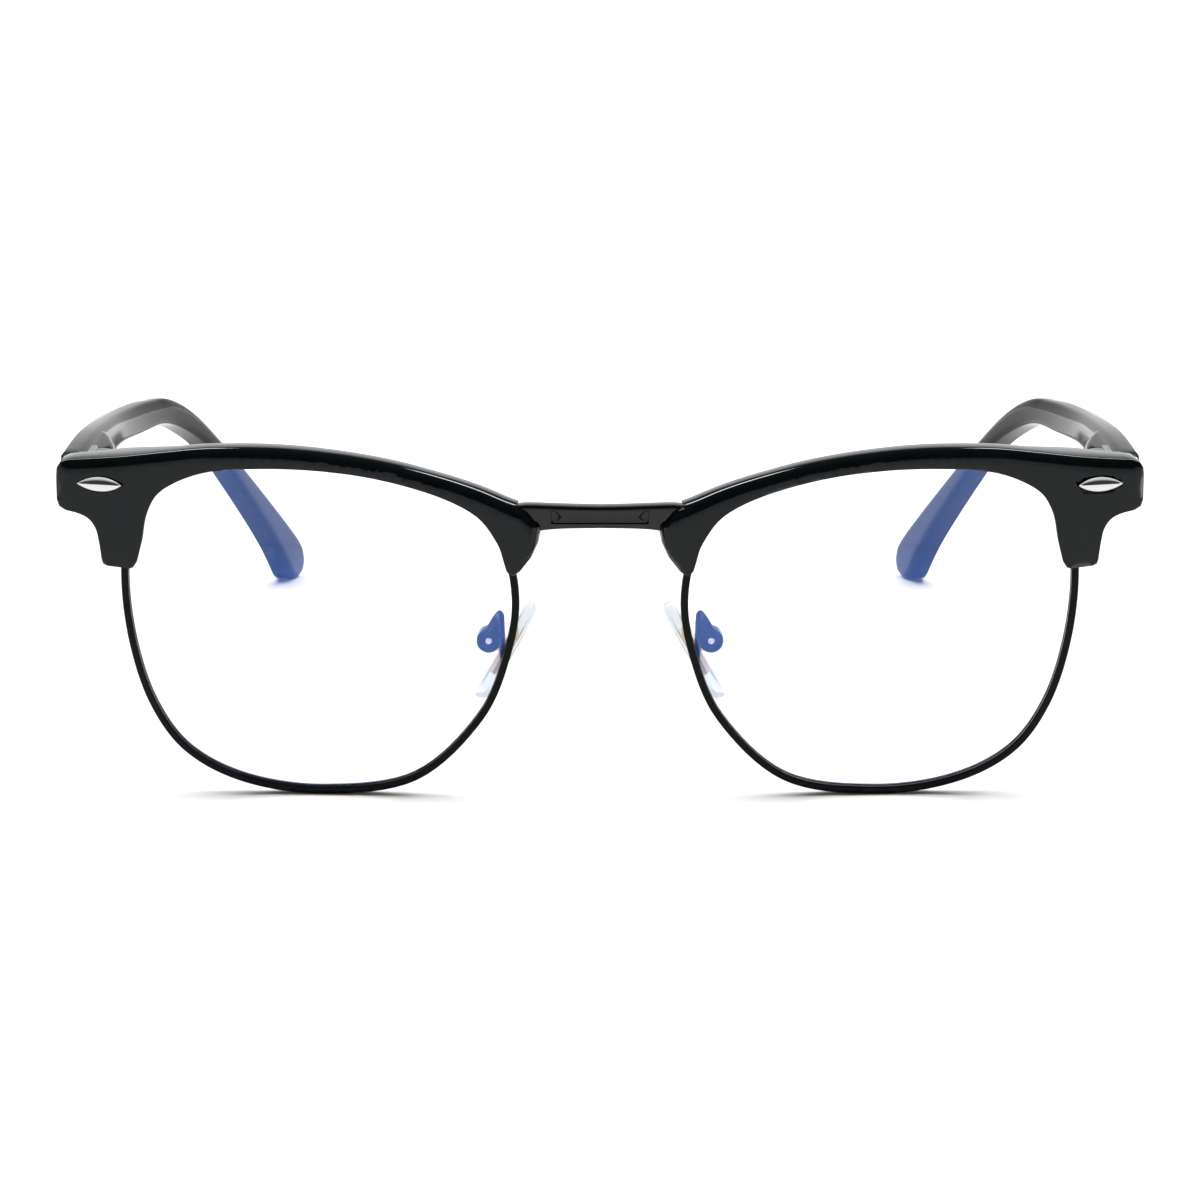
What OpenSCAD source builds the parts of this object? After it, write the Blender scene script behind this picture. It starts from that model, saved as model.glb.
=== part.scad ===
// Browline spectacles: plastic brows over metal eyewires, a metal bridge and folding plastic temples.
// +X is to the viewer's right, +Y runs back towards the ears, +Z is up.
// The glasses stand on the eyewires and the temple tips, and the origin is under their middle.

/* [Front] */
// Width over the two endpieces
front_w = 139.8; // [138.5:0.1:141]
// Radius of the curve that the brows and lenses follow
front_r = 130; // [120:1:150]
// Distance from the middle plane to the axis of each side's curve
wrap_x = 30; // [28:0.5:32]
// Depth of a brow from front to back
brow_d = 5; // [4.8:0.1:5.4]

/* [Eyewires] */
// Width of the wire as seen from the front
rim_w = 1; // [0.9:0.05:1.1]
// Depth of the wire from front to back
rim_d = 2; // [1.8:0.1:2.2]
// Distance from the front curve back to the wire
rim_setback = 0.6; // [0.5:0.05:0.8]
// Lens thickness
lens_t = 1.6; // [1.4:0.1:1.8]
// Thickness of the lens bevel that sits in the wire's groove
bevel_t = 0.7; // [0.5:0.1:0.9]

/* [Bridge] */
// Depth of the bridge from front to back
bridge_d = 3; // [2.6:0.1:3.4]
// Distance from the front curve's apex back to the bridge
bridge_setback = 3; // [2.9:0.05:3.1]

/* [Temples] */
// Temple thickness at the hinge
temple_t = 3.5; // [3.3:0.1:3.6]
// Gap between the endpiece and an open temple
butt_gap = 0.15; // [0.1:0.05:0.3]

/* [Hinges] */
// Radius of a hinge knuckle
knuckle_r = 1.15; // [1.05:0.05:1.2]
// Height of one knuckle with its share of the gap
knuckle_pitch = 1; // [0.9:0.05:1]
// Radius of the hinge screw's shank
hinge_screw_r = 0.6; // [0.5:0.05:0.65]

/* [Nose pads] */
// Length of a pad
pad_l = 14.6; // [13:0.1:15]
// Width of a pad, front to back
pad_w = 7.4; // [7:0.1:8]
// Thickness of a pad
pad_t = 1.8; // [1.7:0.1:1.9]
// Lean of a pad away from upright, in degrees
pad_lean = 29.6; // [27:0.1:31]

/* [Hidden] */

$fn = 48;
big_fn = 360;          // segments of the large curves
curve_n = 6;           // steps between two points of a smooth curve
eye_z = 22;            // height of the lens sphere's centre
end_x = front_w / 2;   // outer face of an endpiece
hinge_back = 11.6;     // back plane of an endpiece
temple_y = hinge_back + butt_gap;
fit_gap = 0.05;        // clearance between fixed pieces
run_gap = 0.03;        // radial clearance of a pin that turns in its hole
seat_gap = 0.1;        // clearance round the hardware that is let into the brows
deep = 30;             // deeper than the front
wide = 80;             // wider than half the front
tall = 60;             // taller than the front

// Middle line of the right eyewire, anticlockwise from its lowest point, as [x, z]
rim_line = [
    [35.4, 0.5], [45.7, 1.75], [53.3, 5.55], [57.8, 11.8], [60.3, 20], [61.15, 28.5],
    [60.2, 35], [56.2, 40.6], [48.4, 43.4], [38, 43.8], [27, 42.2], [17.8, 38.9],
    [12.7, 33.6], [10.85, 26.5], [11.85, 19], [15.5, 10.3], [23.9, 2.35]
];
// Top edge of the right brow, from the nose to the endpiece
brow_top = [
    [9.4, 37.8], [11.5, 38.6], [15.3, 40.3], [20, 41.95], [26.8, 43.85], [34.4, 45.15], [42, 45.75],
    [50, 45.6], [56, 44.9], [62, 44.05], [end_x - 1.5, 43.4]
];
// Outer end of the brow and the hollow curve down to its leg
brow_end = [
    [end_x - 0.6, 43.1], [end_x - 0.1, 42.4], [end_x, 41.5], [end_x, 38.2], [end_x - 0.3, 37.3],
    [end_x - 1.1, 36.85]
];
brow_hollow = [
    [end_x - 1.1, 36.85], [67, 36.5], [65.7, 35.9], [64.8, 34.7], [64.4, 33], [64.1, 30.7]
];
// Foot of the leg beside the lens
brow_foot = [
    [63.9, 30.1], [63.3, 29.85], [60.4, 29.65], [59.9, 29.8], [59.35, 30.6]
];
// Lower edge of the brow along the lens, from the leg to the nose
brow_inner = [
    [59.35, 30.6], [58.6, 33.5], [57.8, 37.2], [55.7, 40.15], [50.5, 42.45], [43.7, 43.15],
    [36, 43], [28.4, 41.95], [20.9, 39.75], [15.8, 37], [13.2, 33.5], [12.35, 31], [12, 29.8]
];
// Rounded tip at the nose and the brow's nasal edge
brow_nose = [
    [12, 29.8], [11.3, 28.95], [10.2, 29.6], [8.7, 31.4], [7.8, 33.3], [7.4, 35.4], [7.8, 36.8],
    [9.4, 37.8]
];
// Back of the brow where it thickens to carry the hinge, as [x, y]
end_block = [
    [50, 5], [52, 6.5], [55, 7.7], [58, 9.6], [60.4, 11.1], [61.2, hinge_back],
    [end_x + 1, hinge_back], [end_x + 1, 9], [62, 6]
];

// Half outline of the bridge bar, as [x, z]
bridge_end = 11.9;     // end of the bar inside the brow
bridge_line = [
    [0, 35.05], [4, 35], [6.6, 34.85], [8.5, 34.55], [bridge_end, 34.55], [bridge_end, 37.8],
    [9.5, 38.05], [6, 37.95], [3, 37.85], [0, 37.8]
];
bridge_pocket = [14, 34.45, 3.7];   // seat of the bar in the brow: depth, lowest point and height
lug = [8, 34.6, 6, 2.9];            // lug from the bar to the eyewire: x, z, length and height
lug_d = 1.8;
panel_w = 12.6;        // recessed panel on the bridge
panel_h = 1.5;
panel_depth = 0.25;
panel_z = 36.4;

// Outer face of the right temple in plan, as [x, y]
temple_plan = [
    [end_x, temple_y], [end_x + 0.45, 40], [end_x - 0.05, 60], [end_x - 3, 80], [end_x - 9.7, 105],
    [end_x - 17.5, 133], [end_x - 18.5, 137]
];
// Top and bottom edges of the temple, as [y, z]
temple_top = [
    [temple_y, 43.9], [33, 42.5], [60, 40.3], [76, 39.1], [84, 37.9], [93, 34], [104, 27], [120, 16.2],
    [133.5, 6.6], [136, 3.6]
];
temple_tip = [[136.3, 2.2], [135.4, 0.6], [133.4, 0], [131.6, 0.2]];
temple_bottom = [
    [130.4, 1], [124, 7.6], [112, 17.6], [100, 26.6], [90, 31.8], [80, 34.9], [68, 35.7], [50, 37],
    [30, 37.2], [temple_y, 37]
];
mid_y = temple_tip[0][0] / 2;
// Rounded boss inside the temple, behind the hinge, as [x, y]
boss_plan = [
    [end_x - 1.9, 20], [end_x - 3.7, 20.2], [end_x - 5, 21.5], [end_x - 5.4, 24], [end_x - 4.9, 28],
    [end_x - 3.7, 33], [end_x - 1.9, 38]
];
boss_z = [38.3, 42.6];

pivot = [end_x - 5.3, 13.1];        // hinge axis in plan
hinge_z = 38;                       // lowest knuckle's underside
knuckles = 5;
knuckle_gap = 0.04;
web_w = 1.4;
leaf_t = 0.7;
leaf_x = [end_x - 8.9, end_x - 4.3];
leaf_z = [37.9, 42.9];
leaf_inner_x = end_x - 3.8;         // inner face of the temple's leaf
leaf_y = [hinge_back + 0.4, 19.5];  // front and back ends of the temple's leaf
leaf_screw_x = end_x - 7.6;
leaf_screw_z = [39.1, 41.7];
leaf_screw_l = 2.8;
core_w = 0.9;          // thickness and height of the temple's metal core
core_h = 1.6;
core_end = 118;
core_step = 1.4;       // how far the core's front end stands inside the temple's middle
core_bend_y = 30;
core_n = 36;

rivet_at = [end_x - 6, 40.6];
rivet_l = 6.1;
rivet_h = 2;
rivet_rise = 0.45;     // height of the ridge above the brow
rivet_edge = 0.1;      // height of the trim's edge above the brow
rivet_seat = 0.35;     // depth of the recess under the trim
rivet_stem_r = 0.5;
rivet_stem_l = 3.2;
rivet_stem_x = 1.3;

screw_r = 0.4;
screw_gap = 0.02;      // clearance round a fixed screw
screw_head_r = 0.75;
screw_head_h = 0.6;
screw_slot_w = 0.2;
tab_nose = [9.9, 32.3];    // brow screws, as [x, z]
tab_temple = [62.2, 36.1];
tab_r = 1;
tab_t = 0.7;
tab_w = 1.2;           // width of the bar from the tab's eye to the wire
tab_l = 2.2;
tab_inset = 0.3;       // from the wire's back face to the tab's
tab_screw_l = 1.4;     // length of the screw in the brow
lock_at = [62.4, 32.6];    // closing block of the eyewire, as [x, z] of its screw
lock_size = [2, 2, 3];
lock_in = 1.2;         // from the block's inner face to its screw
lock_split = 0.2;
lock_screw_l = 2.9;
bevel_in = 0.15;       // from the wire's middle line to the lens's edge

pad_at = [12.35, 11.2, 17.2];
pad_power = 2.6;       // how square the pad's outline is
pad_n = 40;
insert_t = 0.5;        // plate inside the pad, with its width and length
insert_size = [5, 6];
neck_h = 1.5;
socket_at = [14.5, 10.2, 18.9];
socket_r = 1.6;
socket_l = 2.8;
slot_w = 1;            // slot that the pad's lug rocks in
slot_r = 1.12;
lug_r = 1;
lug_t = 0.9;
pad_screw_r = 0.4;
pad_screw_h = 0.5;
arm_r = 0.5;
arm_joint_r = 0.56;    // rounds the arm's bends
// Middle line of the pad arm from its foot on the eyewire to the socket
arm_line = [
    [12.5, 3.85, 17.4], [12.6, 5.2, 18], [12.75, 6.4, 22], [12.9, 7.2, 22.8], [13.5, 8.2, 22.2],
    [14.7, 9.15, 20]
];
// The socket's place in the frame of the pad
socket_off = socket_at - pad_at;
socket_in = [
    socket_off[0] * cos(pad_lean) + socket_off[2] * sin(pad_lean),
    socket_off[1],
    socket_off[2] * cos(pad_lean) - socket_off[0] * sin(pad_lean)
];

plastic = [0.05, 0.055, 0.06];
black_metal = [0.08, 0.08, 0.09];
steel = [0.78, 0.79, 0.8];
gold = [0.83, 0.66, 0.3];
lens_tint = [0.8, 0.86, 0.97, 0.35];
silicone = [0.9, 0.92, 0.93, 0.5];

// A point between b and c on the smooth curve through a, b, c and d
function between(a, b, c, d, t) =
    (2 * b + (c - a) * t + (2 * a - 5 * b + 4 * c - d) * t * t + (3 * b - a - 3 * c + d) * pow(t, 3)) / 2;
// Smooth closed curve through points p
function closed(p) = [
    for (i = [0 : len(p) - 1], k = [0 : curve_n - 1])
        between(p[(i + len(p) - 1) % len(p)], p[i], p[(i + 1) % len(p)], p[(i + 2) % len(p)], k / curve_n)
];
// Smooth open curve through points p, which leaves out the last point
function open(p) = [
    for (i = [0 : len(p) - 2], k = [0 : curve_n - 1])
        between(p[max(i - 1, 0)], p[i], p[i + 1], p[min(i + 2, len(p) - 1)], k / curve_n)
];
// A closed anticlockwise outline moved outwards by d
function grown(p, d) = [
    for (i = [0 : len(p) - 1])
        let (along = p[(i + 1) % len(p)] - p[(i + len(p) - 1) % len(p)])
        p[i] + d * [along[1], -along[0]] / norm(along)
];
// Distance that the front curve falls back at x
function fall(x) = front_r - sqrt(pow(front_r, 2) - pow(x - wrap_x, 2));
// Distance that the lens sphere falls back at x, z
function dome(x, z) = front_r - sqrt(pow(front_r, 2) - pow(x - wrap_x, 2) - pow(z - eye_z, 2));
// Front face of a screw tab, and the side of it that the eyewire is on
function tab_front(at) = dome(at[0], at[1]) + rim_setback + rim_d - tab_t - tab_inset;
function bar_start(at) = at[0] - (at[0] < wrap_x ? 0 : tab_l);
function lock_front() = dome(lock_at[0], lock_at[1]) + rim_setback;
function flipped(p) = [for (q = p) [q[1], q[0]]];
function reversed(p) = [for (i = [len(p) - 1 : -1 : 0]) p[i]];

rim_curve = closed(rim_line);
brow_outline = concat(
    open(brow_top), [brow_top[len(brow_top) - 1]], brow_end, open(brow_hollow),
    [brow_hollow[len(brow_hollow) - 1]], brow_foot, open(brow_inner), brow_nose
);
temple_y_x = flipped(open(temple_plan));
temple_top_curve = open(temple_top);
temple_bottom_curve = open(temple_bottom);
temple_low_table = reversed(temple_bottom_curve);

// Half of the object's depth forwards, so that the origin lies under the middle
module placed() { translate([0, -mid_y, 0]) children(); }
module on_left() { placed() mirror([1, 0, 0]) children(); }
module on_right() { placed() children(); }
// A shape in the front view, run from y0 back to y1
module through(y0, y1) { translate([0, y1, 0]) rotate([90, 0, 0]) linear_extrude(y1 - y0) children(); }
// A pin or a hole along Y
module along_y(x, z, y0, y1, r) { translate([x, y0, z]) rotate([-90, 0, 0]) cylinder(r = r, h = y1 - y0); }
// Everything behind the lens sphere set back by s
module behind_dome(s) {
    translate([wrap_x, front_r, eye_z]) sphere(r = front_r - s, $fn = big_fn);
}
module dome_shell(s0, s1) {
    difference() {
        behind_dome(s0);
        behind_dome(s1);
    }
}
module rim_area(d) { polygon(grown(rim_curve, d)); }

// A slotted screw standing on z = 0 with its head up and its shank down
module screw(r, l, head_r, head_h) {
    translate([0, 0, -l]) cylinder(r = r, h = l + head_h / 3);
    difference() {
        cylinder(r = head_r, h = head_h);
        translate([-head_r - 1, -screw_slot_w / 2, head_h / 2]) cube([2 * head_r + 2, screw_slot_w, head_h]);
    }
}
// The same screw at x, z with its head towards the back
module screw_along_y(x, y, z, r, l, head_r, head_h) {
    translate([x, y, z]) rotate([-90, 0, 0]) screw(r, l, head_r, head_h);
}

module brow_body() {
    intersection() {
        through(-1, deep) polygon(brow_outline);
        union() {
            translate([wrap_x, front_r, 0]) difference() {
                cylinder(r = front_r, h = tall, $fn = big_fn);
                translate([0, 0, -1]) cylinder(r = front_r - brow_d, h = tall + 2, $fn = big_fn);
            }
            linear_extrude(tall) polygon(end_block);
        }
    }
}
// Seat of the eyewire and the lens, open at the back
module rim_seat() {
    intersection() {
        through(-1, deep) rim_area(rim_w / 2 + fit_gap);
        behind_dome(rim_setback - fit_gap);
    }
}
// Seat of the closing block and its screw
module lock_seat() {
    z0 = lock_at[1] - lock_size[2] / 2 - screw_head_h - seat_gap;
    z1 = lock_at[1] + lock_size[2] / 2 + seat_gap;
    translate([lock_at[0] - lock_in - seat_gap, lock_front() - fit_gap, z0])
        cube([lock_size[0] + 2 * seat_gap, deep, z1 - z0]);
}
module tab_seat(at) {
    y0 = tab_front(at) - fit_gap;
    along_y(at[0], at[1], y0, deep, tab_r + seat_gap);
    along_y(at[0], at[1], y0 - tab_screw_l - seat_gap, y0 + 1, screw_r);
    translate([bar_start(at), y0, at[1] - tab_w / 2 - seat_gap]) cube([tab_l, deep, tab_w + 2 * seat_gap]);
}

module brow() {
    color(plastic) difference() {
        brow_body();
        rim_seat();
        lock_seat();
        tab_seat(tab_nose);
        tab_seat(tab_temple);
        translate([0, bridge_setback - fit_gap, bridge_pocket[1]])
            cube([bridge_pocket[0], deep, bridge_pocket[2]]);
        on_front(rivet_at) {
            almond(rivet_l + 2 * seat_gap, rivet_h + 2 * seat_gap, rivet_seat + 0.01, 2);
            rivet_stems(rivet_stem_r);
        }
        front_leaf_plate(fit_gap);
        leaf_screw_holes(leaf_screw_l + seat_gap, screw_r);
    }
}

module rim_tab(at) {
    y0 = tab_front(at);
    difference() {
        union() {
            along_y(at[0], at[1], y0, y0 + tab_t, tab_r);
            translate([bar_start(at), y0, at[1] - tab_w / 2]) cube([tab_l, tab_t, tab_w]);
        }
        along_y(at[0], at[1], y0 - 1, y0 + 2, screw_r + screw_gap);
    }
}
module rim_lock() {
    translate([lock_at[0] - lock_in, lock_front(), lock_at[1] - lock_size[2] / 2]) cube(lock_size);
}
// The cut that splits the eyewire at its closing block, and the hole for the screw
module rim_lock_cuts() {
    translate([lock_at[0] - 3, lock_front() - 1, lock_at[1] - lock_split / 2]) cube([5, 5, lock_split]);
    translate([lock_at[0], lock_front() + lock_size[1] / 2, lock_at[1] - 3])
        cylinder(r = screw_r + screw_gap, h = 6);
}
module rim() {
    color(black_metal) difference() {
        union() {
            difference() {
                intersection() {
                    through(-1, deep) rim_area(rim_w / 2);
                    dome_shell(rim_setback, rim_setback + rim_d);
                }
                through(-2, deep + 1) rim_area(-rim_w / 2);
            }
            rim_tab(tab_nose);
            rim_tab(tab_temple);
            rim_lock();
        }
        lens_bevel(fit_gap);
        rim_lock_cuts();
    }
}
module rim_screw() {
    color(steel) translate([lock_at[0], lock_front() + lock_size[1] / 2, lock_at[1] - lock_size[2] / 2])
        rotate([180, 0, 0]) screw(screw_r, lock_screw_l, screw_head_r, screw_head_h);
}

module lens_bevel(gap) {
    mid = rim_setback + rim_d / 2;
    intersection() {
        through(-1, deep) rim_area(gap - bevel_in);
        dome_shell(mid - bevel_t / 2 - gap, mid + bevel_t / 2 + gap);
    }
}
module lens() {
    mid = rim_setback + rim_d / 2;
    color(lens_tint) union() {
        intersection() {
            through(-1, deep) rim_area(-rim_w / 2 - fit_gap);
            dome_shell(mid - lens_t / 2, mid + lens_t / 2);
        }
        lens_bevel(0);
    }
}

module brow_screws() {
    color(steel) for (at = [tab_nose, tab_temple]) {
        screw_along_y(at[0], tab_front(at) + tab_t, at[1], screw_r - screw_gap, tab_t + tab_screw_l,
            screw_head_r, screw_head_h);
    }
}

module bridge_half() {
    through(bridge_setback, bridge_setback + bridge_d) polygon(bridge_line);
    difference() {
        translate([lug[0], bridge_setback + seat_gap, lug[1]]) cube([lug[2], lug_d, lug[3]]);
        through(-1, deep) rim_area(rim_w / 2 + 0.01);
    }
}
module bridge() {
    color(black_metal) difference() {
        union() {
            bridge_half();
            mirror([1, 0, 0]) bridge_half();
        }
        translate([-panel_w / 2, bridge_setback - 1, panel_z - panel_h / 2])
            cube([panel_w, 1 + panel_depth, panel_h]);
    }
}

// Puts a piece on the curved front of the right brow, facing out
module on_front(at) {
    translate([at[0], fall(at[0]), at[1]]) rotate([0, 0, asin((at[0] - wrap_x) / front_r)]) children();
}
// Almond outline l by h, from back behind the surface to front ahead of it
module almond(l, h, back, front) {
    arc_r = (l * l + h * h) / (4 * h);
    intersection() {
        along_y(0, arc_r - h / 2, -front, back, arc_r);
        along_y(0, h / 2 - arc_r, -front, back, arc_r);
    }
}
module rivet_stems(r) {
    for (x = [-rivet_stem_x, rivet_stem_x]) {
        along_y(x, 0, 0, rivet_stem_l, r);
    }
}
module rivet() {
    roof = [
        [rivet_seat, -rivet_h / 2], [-rivet_edge, -rivet_h / 2], [-rivet_rise, 0], [-rivet_edge, rivet_h / 2],
        [rivet_seat, rivet_h / 2]
    ];
    color(steel) on_front(rivet_at) union() {
        intersection() {
            almond(rivet_l, rivet_h, rivet_seat, 1);
            translate([-rivet_l / 2, 0, 0]) side_extrude(rivet_l) polygon(roof);
        }
        rivet_stems(rivet_stem_r - screw_gap);
    }
}

// A shape drawn as [y, z] and run along +X from x = 0
module side_extrude(h) { rotate([90, 0, 90]) linear_extrude(h) children(); }

module front_leaf_plate(gap) {
    translate([leaf_x[0] - gap, hinge_back - leaf_t - gap, leaf_z[0] - gap])
        cube([leaf_x[1] - leaf_x[0] + 2 * gap, leaf_t + gap, leaf_z[1] - leaf_z[0] + 2 * gap]);
}
module leaf_screw_holes(l, r) {
    for (z = leaf_screw_z) {
        along_y(leaf_screw_x, z, hinge_back - l, hinge_back + 1, r);
    }
}
// Knuckles number first, first + 2 and so on, each with a web from the pin towards [dx, dy]
module knuckle_row(first, web_at, web_size) {
    for (i = [first : 2 : knuckles - 1]) {
        translate([0, 0, hinge_z + i * knuckle_pitch + knuckle_gap / 2]) {
            translate([pivot[0], pivot[1], 0]) cylinder(r = knuckle_r, h = knuckle_pitch - knuckle_gap);
            translate([web_at[0], web_at[1], 0])
                cube([web_size[0], web_size[1], knuckle_pitch - knuckle_gap]);
        }
    }
}
module hinge_bore() {
    translate([pivot[0], pivot[1], hinge_z - 1])
        cylinder(r = hinge_screw_r + run_gap, h = knuckles * knuckle_pitch + 2);
}
module front_leaf() {
    color(black_metal) difference() {
        union() {
            front_leaf_plate(0);
            knuckle_row(0, [pivot[0] - web_w / 2, hinge_back - 0.1], [web_w, pivot[1] - hinge_back + 0.1]);
        }
        hinge_bore();
        leaf_screw_holes(leaf_t + 1, screw_r + screw_gap);
    }
}
module leaf_screws() {
    color(steel) for (z = leaf_screw_z) {
        screw_along_y(leaf_screw_x, hinge_back, z, screw_r - screw_gap, leaf_screw_l, screw_head_r, 0.4);
    }
}
module hinge_screw() {
    stack = knuckles * knuckle_pitch;
    color(steel) translate([pivot[0], pivot[1], hinge_z + stack])
        screw(hinge_screw_r, stack + seat_gap, knuckle_r - 0.15, 0.5);
}

module temple_leaf_plate() {
    translate([leaf_inner_x, leaf_y[0], leaf_z[0]])
        cube([leaf_t, leaf_y[1] - leaf_y[0], leaf_z[1] - leaf_z[0]]);
}
module temple_leaf() {
    color(black_metal) difference() {
        union() {
            temple_leaf_plate();
            knuckle_row(1, [pivot[0], pivot[1] - web_w / 2], [leaf_inner_x - pivot[0] + 0.1, web_w]);
        }
        hinge_bore();
    }
}

// A band in plan between two distances inside the temple's outer face
module temple_band(inside0, inside1) {
    plan = open(temple_plan);
    linear_extrude(tall) polygon(concat(
        [for (q = plan) [q[0] - inside0, q[1]]],
        [for (q = reversed(plan)) [q[0] - inside1, q[1]]]
    ));
}
module temple_side() {
    side_extrude(wide) polygon(concat(temple_top_curve, temple_tip, temple_bottom_curve,
        [temple_bottom[len(temple_bottom) - 1]]));
}
module temple_boss() {
    translate([0, 0, boss_z[0]]) linear_extrude(boss_z[1] - boss_z[0]) polygon(open(boss_plan));
}
// Middle height of the temple at y
function temple_mid(y) = (lookup(y, temple_top_curve) + lookup(y, temple_low_table)) / 2;
// Middle of the core in plan: it starts against the leaf and runs out to the middle of the temple
function core_x(y) = lookup(y, temple_y_x) - temple_t / 2
    - core_step * max(0, (core_bend_y - y) / (core_bend_y - leaf_y[1]));
module core_shape() {
    ys = [for (i = [0 : core_n]) leaf_y[1] + (core_end - leaf_y[1]) * i / core_n];
    intersection() {
        side_extrude(wide) polygon(concat(
            [for (y = ys) [y, temple_mid(y) - core_h / 2]],
            [for (y = reversed(ys)) [y, temple_mid(y) + core_h / 2]]
        ));
        linear_extrude(tall) polygon(concat(
            [for (y = ys) [core_x(y) - core_w / 2, y]],
            [for (y = reversed(ys)) [core_x(y) + core_w / 2, y]]
        ));
    }
}
module temple_core() { color(steel) core_shape(); }
module temple() {
    color(plastic) difference() {
        union() {
            intersection() {
                temple_side();
                temple_band(0, temple_t);
            }
            temple_boss();
        }
        temple_leaf_plate();
        core_shape();
    }
}

// Puts a piece in the frame of the right pad: x across its thickness, z along its length
module on_pad() { translate(pad_at) rotate([0, -pad_lean, 0]) children(); }
function rounded(a, size) = size / 2 * sign(a) * pow(abs(a), 2 / pad_power);
module pad_body() {
    translate([-pad_t / 2, 0, 0]) side_extrude(pad_t) polygon([
        for (i = [0 : pad_n - 1])
            let (a = 360 * i / pad_n)
            [rounded(cos(a), pad_w), rounded(sin(a), pad_l)]
    ]);
}
module insert_shape() {
    translate([-insert_t / 2, -insert_size[0] / 2, -insert_size[1] / 2])
        cube([insert_t, insert_size[0], insert_size[1]]);
    translate([0, socket_in[1] - lug_t / 2, socket_in[2] - neck_h / 2])
        cube([socket_in[0] - lug_r + seat_gap, lug_t, neck_h]);
}
module pad_insert() {
    color(gold) on_pad() difference() {
        union() {
            insert_shape();
            along_y(socket_in[0], socket_in[2], socket_in[1] - lug_t / 2, socket_in[1] + lug_t / 2, lug_r);
        }
        along_y(socket_in[0], socket_in[2], socket_in[1] - 1, socket_in[1] + 1, pad_screw_r + run_gap);
    }
}
module nose_pad() {
    color(silicone) on_pad() difference() {
        pad_body();
        insert_shape();
    }
}

module arm_wire() {
    for (i = [0 : len(arm_line) - 2]) {
        step = arm_line[i + 1] - arm_line[i];
        turn = atan2(step[1], step[0]);
        lean = acos(step[2] / norm(step));
        translate(arm_line[i]) rotate([0, lean, turn]) cylinder(r = arm_r, h = norm(step));
        if (i > 0) translate(arm_line[i]) sphere(r = arm_joint_r);
    }
}
module pad_arm() {
    y0 = socket_at[1] - socket_l / 2;
    y1 = socket_at[1] + socket_l / 2;
    slot_y = socket_at[1] - slot_w / 2;
    color(black_metal) difference() {
        union() {
            arm_wire();
            along_y(socket_at[0], socket_at[2], y0, y1, socket_r);
        }
        along_y(socket_at[0], socket_at[2], slot_y, slot_y + slot_w, slot_r);
        translate([socket_at[0], slot_y, socket_at[2]]) rotate([0, -pad_lean, 0])
            translate([-3, 0, -slot_r]) cube([3, slot_w, 2 * slot_r]);
        along_y(socket_at[0], socket_at[2], y0 - 1, y1 + 1, pad_screw_r + screw_gap);
    }
}
module pad_screw() {
    color(steel) screw_along_y(socket_at[0], socket_at[1] + socket_l / 2, socket_at[2], pad_screw_r,
        socket_l - seat_gap, 2 * pad_screw_r, pad_screw_h);
}

placed() bridge();
on_left() brow();  // brow_left
on_right() brow();  // brow_right
on_left() rim();  // rim_left
on_right() rim();  // rim_right
on_left() lens();  // lens_left
on_right() lens();  // lens_right
on_left() rim_screw();  // rim_screw_left
on_right() rim_screw();  // rim_screw_right
on_left() brow_screws();  // brow_screws_left
on_right() brow_screws();  // brow_screws_right
on_left() rivet();  // rivet_left
on_right() rivet();  // rivet_right
on_left() pad_arm();  // pad_arm_left
on_right() pad_arm();  // pad_arm_right
on_left() pad_screw();  // pad_screw_left
on_right() pad_screw();  // pad_screw_right
on_left() pad_insert();  // pad_insert_left
on_right() pad_insert();  // pad_insert_right
on_left() nose_pad();  // nose_pad_left
on_right() nose_pad();  // nose_pad_right
on_left() front_leaf();  // front_leaf_left
on_right() front_leaf();  // front_leaf_right
on_left() leaf_screws();  // leaf_screws_left
on_right() leaf_screws();  // leaf_screws_right
on_left() hinge_screw();  // hinge_screw_left
on_right() hinge_screw();  // hinge_screw_right
on_left() temple_leaf();  // temple_leaf_left
on_right() temple_leaf();  // temple_leaf_right
on_left() temple();  // temple_left
on_right() temple();  // temple_right
on_left() temple_core();  // temple_core_left
on_right() temple_core();  // temple_core_right
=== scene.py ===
"""Browline glasses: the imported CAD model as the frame, with finished meshes, materials and a studio."""
import math

import bmesh
import bpy
import numpy as np
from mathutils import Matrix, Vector
from mathutils.geometry import delaunay_2d_cdt


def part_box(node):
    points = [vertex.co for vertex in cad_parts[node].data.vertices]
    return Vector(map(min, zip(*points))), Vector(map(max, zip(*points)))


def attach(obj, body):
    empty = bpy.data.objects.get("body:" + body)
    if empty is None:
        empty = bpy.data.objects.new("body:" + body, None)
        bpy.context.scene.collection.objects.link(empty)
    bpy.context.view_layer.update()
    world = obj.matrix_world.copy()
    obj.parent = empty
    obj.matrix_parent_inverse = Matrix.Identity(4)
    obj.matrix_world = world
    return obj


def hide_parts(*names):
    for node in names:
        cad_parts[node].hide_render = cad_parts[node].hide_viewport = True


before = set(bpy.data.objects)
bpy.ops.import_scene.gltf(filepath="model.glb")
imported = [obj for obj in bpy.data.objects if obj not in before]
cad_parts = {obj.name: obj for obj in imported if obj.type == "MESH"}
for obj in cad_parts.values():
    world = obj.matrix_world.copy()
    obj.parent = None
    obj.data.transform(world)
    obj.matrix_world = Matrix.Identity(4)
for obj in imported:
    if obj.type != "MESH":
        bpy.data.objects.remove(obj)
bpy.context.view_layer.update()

MM = 0.001
CARVED_SHARP = 32      # degrees between two faces that keep a sharp edge on carved and mirrored pieces

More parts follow.
